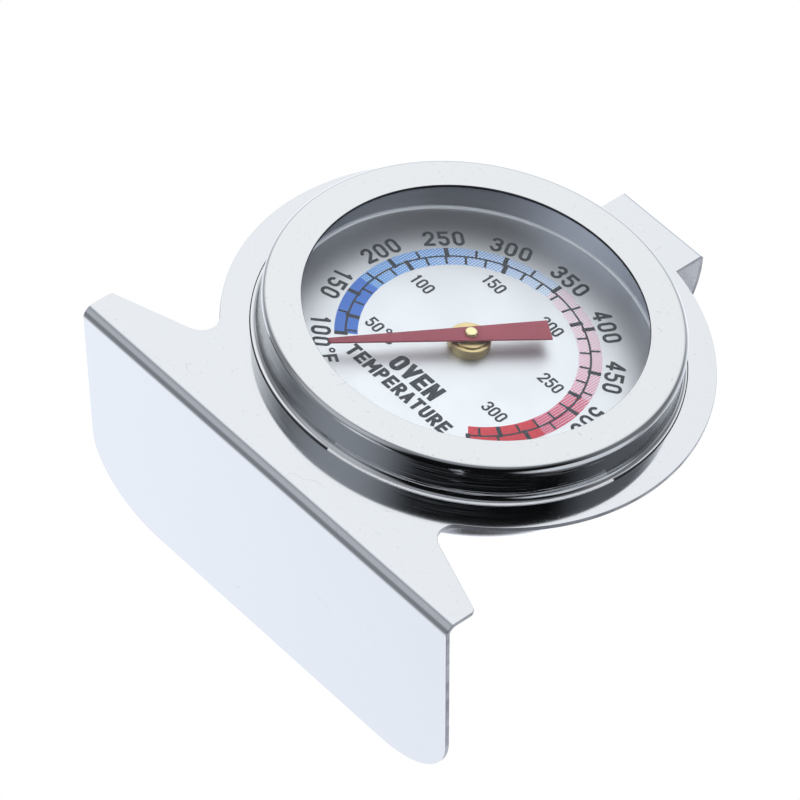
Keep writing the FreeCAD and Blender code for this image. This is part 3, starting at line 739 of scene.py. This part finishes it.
def ribbon(path, closed, pen, z):
    """A flat ribbon of the pen's width along a path."""
    spots = [Vector(p) for k, p in enumerate(path)
             if k == 0 or (Vector(p) - Vector(path[k - 1])).length > 1e-4]
    if closed and (spots[0] - spots[-1]).length < 1e-4:
        spots.pop()
    total, points = len(spots), []
    for i, spot in enumerate(spots):
        back = spots[i - 1] if closed or i else spot
        ahead = spots[(i + 1) % total] if closed or i < total - 1 else spot
        into, out = (spot - back), (ahead - spot)
        into = into.normalized() if into.length else out.normalized()
        out = out.normalized() if out.length else into
        normal = Vector((-(into + out).y, (into + out).x)).normalized()
        reach = pen / 2 / max(0.4, normal.dot(Vector((-into.y, into.x))))
        points += [(*(spot + normal * reach), z), (*(spot - normal * reach), z)]
    last = total if closed else total - 1
    faces = [[2 * i, 2 * i + 1, (2 * i + 3) % (2 * total), (2 * i + 2) % (2 * total)]
             for i in range(last)]
    return points, faces


def add_text(target, text, size, cell, pen, gap, centre, turn=0.0):
    """Letter a text of the given height and letter width, centred on a point of the dial."""
    widths = [cell * letter_widths.get(letter, 1.0) for letter in text]
    start = -(sum(widths) + gap * (len(text) - 1)) / 2
    a = math.radians(turn)
    for letter, width in zip(text, widths):
        if letter == DEGREE:
            strokes, line = pen_strokes["O"], pen * DEGREE_PEN
            wide = tall = width - line
            rise = size - width
        else:
            strokes = pen_strokes[letter]
            wide, tall, rise, line = width - pen, size - pen, 0.0, pen
        for layer, (kind, *corners) in enumerate(strokes):
            path = pen_path(kind, corners, wide, tall, line)
            points, faces = ribbon(path, kind == "loop", line, 0)
            placed = []
            for x, y, _ in points:
                x, y = x + start + line / 2, y + line / 2 + rise - size / 2
                placed.append((centre[0] + x * math.cos(a) + y * math.sin(a),
                               centre[1] - x * math.sin(a) + y * math.cos(a),
                               DIAL_Z + 2 * INK + LAYER * layer))
            add_flat(target, placed, [face[::-1] for face in faces])
        start += width + gap


FIGURE_R, F_MARK_R = 20.75, 20.3
figure_shapes = ([], [])
for fahrenheit in range(100, 601, 50):
    turn = turn_of_f(fahrenheit)
    upside = 180 if abs(turn) > 100 else 0
    add_text(figure_shapes, str(fahrenheit), 2.85, 1.70, 0.50, 0.46,
             on_dial(FIGURE_R, turn, 0)[:2], turn + upside)
f_mark_turn = turn_of_f(100) - 13.0
add_text(figure_shapes, DEGREE + "F", 2.5, 1.5, 0.46, 0.3,
         on_dial(F_MARK_R, f_mark_turn, 0)[:2], f_mark_turn + 180)
for celsius, spot in ((100, (-12.3, 3.0)), (150, (-6.3, 11.4)), (200, (4.4, 12.1)),
                      (250, (12.1, 4.3)), (300, (11.3, -6.1)), (50, (-10.6, -8.1))):
    add_text(figure_shapes, str(celsius), 2.1, 1.12, 0.34, 0.2, spot)
add_text(figure_shapes, DEGREE, 2.3, 1.5, 0.42, 0.2, (-8.5, -8.0))
add_text(figure_shapes, "C", 2.1, 1.15, 0.34, 0.2, (-7.1, -8.3))
dial_figures = new_piece("dial_figures", *figure_shapes)
dial_figures.data.materials.append(dark_ink)
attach(dial_figures, "case")

heading_shapes = ([], [])
add_text(heading_shapes, "OVEN", 3.3, 2.0, 0.78, 0.26, (0.2, -10.45))
add_text(heading_shapes, "TEMPERATURE", 2.45, 1.5, 0.56, 0.26, (0.2, -13.95))
dial_heading = new_piece("dial_heading", *heading_shapes)
dial_heading.data.materials.append(dark_ink)
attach(dial_heading, "case")


# Bush: turned brass bearing that clamps the dial, with a low shoulder and a smaller step.
# Its stem goes through the dial and the bridge to the nut behind.
BUSH_R, BUSH_STEP_R, BUSH_STEM_R, BUSH_BORE_R = 3.0, 2.3, 2.0, 0.79
BUSH_TOP, BUSH_STEP_TOP, BUSH_LOW, BUSH_SEAT = 0.3, 0.55, -5.4, 0.03
bush = new_piece("turned_bush", *turned_points(soft_profile([
    (BUSH_BORE_R, BUSH_STEP_TOP, 0), (BUSH_BORE_R, BUSH_LOW, 0), (BUSH_STEM_R, BUSH_LOW, 0.1),
    (BUSH_STEM_R, DIAL_Z - BUSH_SEAT, 0), (BUSH_R, DIAL_Z + BUSH_SEAT, 0),
    (BUSH_R, BUSH_TOP, 0.22), (BUSH_STEP_R, BUSH_TOP, 0), (BUSH_STEP_R, BUSH_STEP_TOP, 0.08)]),
    steps=96))
bush.data.set_sharp_from_angle(angle=CREASE)
bush_brass = satin_metal("bush_brass", (0.80, 0.65, 0.36, 1), (0.60, 0.47, 0.23, 1), 0.38, 0.006)
bush.data.materials.append(bush_brass)
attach(bush, "case")
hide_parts("bearing_bush")


# Arbor and hub: the arbor's bright end is peened over the pointer, and the small brass hub
# under the pointer sets its height. Both turn with the pointer.
bright_brass = satin_metal("bright_brass", (0.84, 0.71, 0.42, 1), (0.70, 0.57, 0.31, 1), 0.26, 0.002)
dress(["arbor", "pointer_hub"], bright_brass)


# Pointer: a tapered blade cut from thin sheet and stoved dark red, square at its tail.
POINTER_Z, POINTER_T, POINTER_TIP, POINTER_TAIL = 0.85, 0.3, 20.4, 11.4
TIP_HALF, TAIL_HALF, ARBOR_R, POINTER_REST = 0.45, 1.8, 0.75, -148.0


def pointer_mesh():
    """The blade around the hole for the arbor, turned to where it rests."""
    a = math.radians(-POINTER_REST)
    blade = [(-TAIL_HALF, -POINTER_TAIL), (TAIL_HALF, -POINTER_TAIL),
             (TIP_HALF, POINTER_TIP), (-TIP_HALF, POINTER_TIP)]
    hole = arc_points(0, 0, ARBOR_R, -90, 270, 40)[:-1]

    def turned(x, y, z):
        return x * math.cos(a) - y * math.sin(a), x * math.sin(a) + y * math.cos(a), z

    return thickened(filled([blade, hole]), turned, (POINTER_Z + POINTER_T, POINTER_Z))[:2]


def red_enamel():
    """Thin dark red enamel with a satin gloss, rubbed paler along fine lines."""
    material, tree, shader = new_material("red_pointer_enamel")
    marks = use_group(tree, scuffs, Share=0.6)
    tone = use_group(tree, uneven_polish, Size=300.0, Low=0.0, High=1.0)["Tone"]
    paint = mix_colors(tree, tone, (0.30, 0.055, 0.085, 1), (0.36, 0.075, 0.105, 1))
    plug(tree, shader, {
        "Base Color": mix_colors(tree, marks["Mask"], paint, (0.5, 0.25, 0.27, 1)),
        "Roughness": remap(tree, tone, 0.0, 1.0, 0.34, 0.46), "Specular IOR Level": 0.25,
        "Normal": bump(tree, tone, 0.3, 0.01)})
    return material


pointer_blade = new_piece("pointer_blade", *pointer_mesh())
break_edges(pointer_blade, 0.05)
pointer_blade.data.materials.append(red_enamel())
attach(pointer_blade, "pointer_arbor")
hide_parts("pointer")


# Dial retaining ring: a strip of plain rolled steel bent round inside the cup. It stands on the
# dial on a small bead and holds the glass packing up; it shows as the dark inner wall.
RING_IN, RING_OUT, FLANGE_TOP = 27.05, 27.45, 4.15
BEAD_R, BEAD_FOOT, BEAD_LIFT = 0.32, 0.02, 0.04
ring_shapes = ([], [])
add_flat(ring_shapes, *turned_points(soft_profile([
    (RING_IN, FLANGE_TOP, 0.08), (RING_IN, DIAL_Z, 0), (RING_OUT, DIAL_Z, 0.1),
    (RING_OUT, FLANGE_TOP, 0.08)])))
wall_faces = len(ring_shapes[1])
add_flat(ring_shapes, *turned_points([(RING_IN, DIAL_Z + BEAD_FOOT)] + arc_points(
    RING_IN, DIAL_Z + BEAD_LIFT, BEAD_R, 180, 90, 8)))
inner_ring = new_piece("inner_ring", *ring_shapes)
inner_ring.data.set_sharp_from_angle(angle=CREASE)
inner_ring.data.polygons.foreach_set("material_index", [
    int(i >= wall_faces) for i in range(len(ring_shapes[1]))])
inner_ring.data.materials.append(satin_metal(
    "inner_ring_steel", (0.72, 0.75, 0.83, 1), (0.58, 0.61, 0.69, 1), 0.12, 0.004, 0.6))
inner_ring.data.materials.append(mill_finish(
    "pale_foot_bead", (0.93, 0.95, 0.98, 1), (0.86, 0.88, 0.92, 1), 0.35, 0.25))
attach(inner_ring, "case")
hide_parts("dial_retaining_ring")


# Support sleeve and packing ring: the sleeve is a plain steel spacer inside the bezel's wall,
# the packing is a thin dark heat-resistant ring that seats the glass on the cup's flange.
def packing_material():
    """Dark matt packing, finely mottled."""
    material, tree, shader = new_material("dark_packing")
    tone = use_group(tree, uneven_polish, Size=1500.0, Low=0.0, High=1.0)["Tone"]
    plug(tree, shader, {"Roughness": 0.8, "Base Color": mix_colors(
        tree, tone, (0.02, 0.02, 0.022, 1), (0.05, 0.05, 0.052, 1))})
    return material


dress(["support_sleeve"], plain_steel)
dress(["glass_gasket"], packing_material())


# Front glass: a flat disc of clear tempered glass with a ground edge, held by the bezel's lip.
GLASS_R, GLASS_LOW, GLASS_TOP = 29.2, 4.45, 5.65


def blend_surface(tree, factor, one, other):
    """Put a blend of two shaders in place of the material's own."""
    surface = tree.nodes["Material Output"].inputs["Surface"]
    tree.links.remove(surface.links[0])
    blend = add_node(tree, "ShaderNodeMixShader", {0: factor, 1: one, 2: other})
    tree.links.new(blend.outputs[0], surface)


def clear_glass():
    """Clear glass with the faintest unevenness; its low index keeps the pane from glaring."""
    material, tree, shader = new_material("clear_glass")
    plug(tree, shader, {
        "Base Color": (0.97, 0.985, 0.99, 1), "Transmission Weight": 1.0, "IOR": 1.2,
        "Roughness": 0.0, "Normal": bump(tree, noise(tree, 40.0, 0.0), 1.0, 0.004)})
    ray = tree.nodes.new("ShaderNodeLightPath").outputs
    looking = arithmetic(tree, "MAXIMUM", ray["Is Camera Ray"], ray["Is Transmission Ray"])
    clear = add_node(tree, "ShaderNodeBsdfTransparent", {"Color": (0.95, 0.96, 0.96, 1)})
    blend_surface(tree, looking, clear.outputs[0], shader.outputs[0])
    return material


window_glass = new_piece("window_glass", *turned_points(soft_profile([
    (0, GLASS_TOP, 0), (0, GLASS_LOW, 0),
    (GLASS_R, GLASS_LOW, 0.15), (GLASS_R, GLASS_TOP, 0.15)])))
window_glass.data.set_sharp_from_angle(angle=CREASE)
window_glass.data.materials.append(clear_glass())
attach(window_glass, "case")
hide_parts("front_glass")


# Bezel ring: spun from polished stainless sheet, with a broad flat face, a rolled outer edge and
# a straight wall with a flared foot. Four tabs on the wall go through the plate and are bent
# out behind it. The window's cut edge is painted near black as painted shade under the lip. The
# flare's lip is painted near black as painted shade, and pale at the front as a painted highlight.
BEZEL_R, BEZEL_SHEET, FACE_Z, WINDOW_R, ROLL_R = 30.0, 0.45, 6.1, 24.5, 0.9
TAB_OUT_R, TAB_ROOT, FLARE_R, FLARE_T = 33.2, 0.3, 30.9, 0.16
# Where the painted shade and highlight go: width at the window edge, flare lip radius and width,
# front arc of the painted highlight.
EDGE_WIDTH, LIP_R, LIP_WIDTH, PAINTED_HIGHLIGHT_SPAN = 0.03, 30.60, 0.12, (-84, -4)
wall_in = BEZEL_R - BEZEL_SHEET
bezel_profile = soft_profile([
    (WINDOW_R, FACE_Z - BEZEL_SHEET, 0.04), (wall_in, FACE_Z - BEZEL_SHEET, ROLL_R - BEZEL_SHEET),
    (wall_in, 0, 0.05), (FLARE_R, 0, 0.03), (FLARE_R, FLARE_T, 0.04), (BEZEL_R, FLARE_T, 0.75),
    (BEZEL_R, FACE_Z, ROLL_R), (WINDOW_R, FACE_Z, 0.12)])
bezel_shapes = ([], [])
add_flat(bezel_shapes, *turned_points(bezel_profile, steps=240))
for start, end in tab_spans:
    tab_profile = soft_profile([
        (wall_in, TAB_ROOT, 0), (wall_in, -SHEET - BEZEL_SHEET, 0.4),
        (TAB_OUT_R, -SHEET - BEZEL_SHEET, 0.1), (TAB_OUT_R, -SHEET, 0.1),
        (BEZEL_R, -SHEET, 0), (BEZEL_R, TAB_ROOT, 0)])
    add_flat(bezel_shapes, *turned_points(tab_profile, steps=10, start=start, sweep=end - start))
bezel_shell = new_piece("bezel_shell", *bezel_shapes)
bezel_shell.data.set_sharp_from_angle(angle=CREASE)
for face in bezel_shell.data.polygons:
    middle = face.center / MM
    radius, turn = middle.xy.length, math.degrees(math.atan2(middle.y, middle.x))
    # Window edge: near-black painted shade under the bezel's lip, not a dark steel edge.
    if radius < WINDOW_R + EDGE_WIDTH:
        face.material_index = 1
    elif radius > LIP_R and middle.z > 0:
        # Flare's lip: pale painted highlight across the front arc, near-black painted shade
        # elsewhere.
        at_front = PAINTED_HIGHLIGHT_SPAN[0] < turn < PAINTED_HIGHLIGHT_SPAN[1]
        face.material_index = 2 if at_front else int(radius > FLARE_R - LIP_WIDTH)
bezel_shell.data.materials.append(polished_steel(
    "polished_bezel_steel", (0.469, 0.487, 0.502, 1), (0.30, 0.31, 0.33, 1), 0.06, 0.02, 0.6,
    spun=True))
# Near-black painted shade for the window edge and for the flare's lip away from the front.
bezel_shell.data.materials.append(mill_finish(
    "painted_shade_black_edge", (0.030, 0.031, 0.036, 1), (0.012, 0.012, 0.014, 1), 0.5, 0.3))
# Pale painted highlight for the flare's lip at the front; the cut steel there is not this bright.
bezel_shell.data.materials.append(mill_finish(
    "painted_highlight_flare", (0.96, 0.97, 0.98, 1), (0.86, 0.87, 0.88, 1), 0.4, 0.1))
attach(bezel_shell, "case")
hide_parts("bezel_ring")


# Floor: a plain pale table top that is seen only from above, so the foot also shows from below.
FLOOR_HALF, FLOOR_DROP = 3, 0.00005
floor_mesh = bpy.data.meshes.new("pale_floor")
floor_mesh.from_pydata([(x * FLOOR_HALF, y * FLOOR_HALF, 0)
                        for x, y in ((-1, -1), (1, -1), (1, 1), (-1, 1))], [], [[0, 1, 2, 3]])
pale_floor = bpy.data.objects.new("pale_floor", floor_mesh)
bpy.context.scene.collection.objects.link(pale_floor)
pale_floor.location.z = -FLOOR_DROP
floor_material, floor_tree, floor_shader = new_material("pale_table")
plug(floor_tree, floor_shader, {"Base Color": (0.78, 0.78, 0.79, 1), "Roughness": 0.7})
from_below = floor_tree.nodes.new("ShaderNodeNewGeometry").outputs["Backfacing"]
see_through = floor_tree.nodes.new("ShaderNodeBsdfTransparent")
blend_surface(floor_tree, from_below, floor_shader.outputs[0], see_through.outputs[0])
floor_mesh.materials.append(floor_material)
for kind in ("diffuse", "glossy", "transmission", "shadow"):
    setattr(pale_floor, "visible_" + kind, False)


# Studio: white sheets hang over the dial and behind, with cards and low lamps around. The rest
# of the room is dark, which is where the polished case takes its dark side. Seen directly the
# room is plain white, and matt surfaces get an even fill.
SHEET_LIGHT, FILL_LIGHT, DARK_ROOM = 1.72, 1.12, 0.008
over_dial = Vector((-0.59237, -0.57412, 0.56523))
room_front = Vector((0.41833, -0.81877, -0.39322))
room_right = Vector((0.68855, 0.003525, 0.72518))
left_side = (-0.70 * room_right + 0.21 * over_dial + 0.69 * room_front).normalized()
right_side = (0.91 * room_right + 0.41 * over_dial).normalized()
high_front = (0.65 * over_dial + 0.76 * room_front).normalized()
low_right = (0.82 * room_right - 0.52 * over_dial + 0.25 * room_front).normalized()
low_left = (-0.66 * room_right - 0.75 * over_dial + 0.03 * room_front).normalized()
studio = bpy.data.worlds.new("studio")
bpy.context.scene.world = studio
studio.use_nodes = True
room = studio.node_tree
room.nodes.clear()
direction = room.nodes.new("ShaderNodeTexCoord").outputs["Generated"]


def soft_light(towards, dim, full, strength):
    """Light that grows smoothly from nothing to its strength as a direction nears its middle."""
    near = add_node(room, "ShaderNodeVectorMath", {0: direction, 1: towards},
                    operation="DOT_PRODUCT")
    return add_node(room, "ShaderNodeMapRange", {
        "Value": near.outputs["Value"], "From Min": dim, "From Max": full,
        "To Min": 0.0, "To Max": strength}, interpolation_type="SMOOTHSTEP").outputs[0]


overhead = soft_light(over_dial, 0.626, 1.0, SHEET_LIGHT)
backdrop = soft_light(-room_front, 0.0, 0.92, SHEET_LIGHT)
left_card = soft_light(left_side, 0.77, 1.0, 0.84)
left_wall = soft_light(-room_right, 0.50, 0.76, 0.40)
right_card = soft_light(right_side, 0.67, 0.92, 0.31)
front_card = soft_light(high_front, 0.75, 1.0, 0.46)
low_strip = soft_light(low_right, 0.80, 0.94, 1.15)
low_spot = soft_light(low_left, 0.93, 0.985, 1.3)
sheets = arithmetic(room, "MAXIMUM", overhead, backdrop)
low_lamps = arithmetic(room, "ADD", low_strip, low_spot)
cards = arithmetic(room, "ADD", arithmetic(room, "MAXIMUM", left_card, left_wall),
                   arithmetic(room, "ADD", right_card, front_card))
shaped = arithmetic(room, "ADD", arithmetic(room, "ADD", sheets, cards),
                    arithmetic(room, "ADD", low_lamps, DARK_ROOM))
shaped = arithmetic(room, "MINIMUM", shaped, SHEET_LIGHT)
ray = room.nodes.new("ShaderNodeLightPath").outputs
with_fill = add_node(room, "ShaderNodeMix", {0: ray["Is Diffuse Ray"], 2: shaped, 3: FILL_LIGHT})
with_view = add_node(room, "ShaderNodeMix", {0: ray["Is Camera Ray"], 2: with_fill.outputs[0],
                                             3: 1.0})
warm = arithmetic(room, "MAXIMUM", ray["Is Camera Ray"],
                  arithmetic(room, "DIVIDE", overhead, SHEET_LIGHT))
tint = mix_colors(room, warm, (0.966, 0.988, 1.045, 1), (1, 1, 1, 1))
light = add_node(room, "ShaderNodeBackground", {"Color": tint, "Strength": with_view.outputs[0]})
room_out = room.nodes.new("ShaderNodeOutputWorld")
room.links.new(light.outputs[0], room_out.inputs["Surface"])
bpy.context.scene.view_settings.view_transform = "Standard"
bpy.context.scene.view_settings.look = "None"


# Camera: a long lens from below and to the right of the dial, square to the studio's front.
camera_data = bpy.data.cameras.new("camera")
camera_data.sensor_width = 36.0
camera_data.lens = 252.35
camera_data.clip_start, camera_data.clip_end = 0.01, 20.0
camera = bpy.data.objects.new("camera", camera_data)
bpy.context.scene.collection.objects.link(camera)
camera.matrix_world = (Matrix.Translation((0.324295, -0.647044, -0.278935))
                       @ Matrix((room_right, over_dial, room_front)).transposed().to_4x4())
bpy.context.scene.camera = camera
